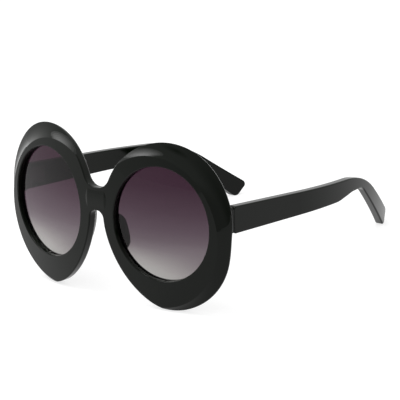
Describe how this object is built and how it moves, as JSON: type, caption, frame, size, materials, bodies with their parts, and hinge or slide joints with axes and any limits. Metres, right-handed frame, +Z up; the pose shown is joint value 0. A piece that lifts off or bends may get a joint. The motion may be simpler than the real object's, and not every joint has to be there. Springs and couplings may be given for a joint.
{
  "type": "oversized round sunglasses",
  "caption": "Oversized round sunglasses with a broad glossy front, gradient-tinted lenses, bonded nose pads and folding temples on screwed hinges.",
  "frame": {"origin": "middle of the bounding box at the surface that the open glasses rest on", "axes": "+X towards the wearer's left, +Y from the lenses back along the temples, +Z up, with the glasses resting on their rims and temple tips"},
  "size_m": [0.137, 0.142, 0.0729],
  "materials": {
    "frame_black": "polished acetate",
    "lens_tint": "polished, gradient tint from dark above to pale below",
    "hinge_steel": "black coated, fine brushed",
    "washer_nylon": "satin",
    "core_steel": "drawn wire"
  },
  "bodies": {
    "front": {"front_frame": "frame_black", "lens_left": "lens_tint", "lens_right": "lens_tint", "nose_pad_left": "frame_black", "nose_pad_right": "frame_black", "front_hinge_leaf_left": "hinge_steel", "front_hinge_leaf_right": "hinge_steel", "front_leaf_screws_left": "hinge_steel", "front_leaf_screws_right": "hinge_steel", "hinge_screw_left": "hinge_steel", "hinge_screw_right": "hinge_steel", "hinge_washers_left": "washer_nylon", "hinge_washers_right": "washer_nylon"},
    "left_arm": {"temple_left": "frame_black", "temple_core_left": "core_steel", "temple_hinge_leaf_left": "hinge_steel", "temple_leaf_screws_left": "hinge_steel"},
    "right_arm": {"temple_right": "frame_black", "temple_core_right": "core_steel", "temple_hinge_leaf_right": "hinge_steel", "temple_leaf_screws_right": "hinge_steel"}
  },
  "joints": [
    {"name": "left_temple_fold", "type": "hinge", "parent": "front", "child": "left_arm", "pos_m": [0.06175, -0.05256, 0.04175], "axis": [0, 0.1067, 0.9943], "range_deg": [0, 82]},
    {"name": "right_temple_fold", "type": "hinge", "parent": "front", "child": "right_arm", "pos_m": [-0.06175, -0.05256, 0.04175], "axis": [0, -0.1067, -0.9943], "range_deg": [0, 68]}
  ]
}
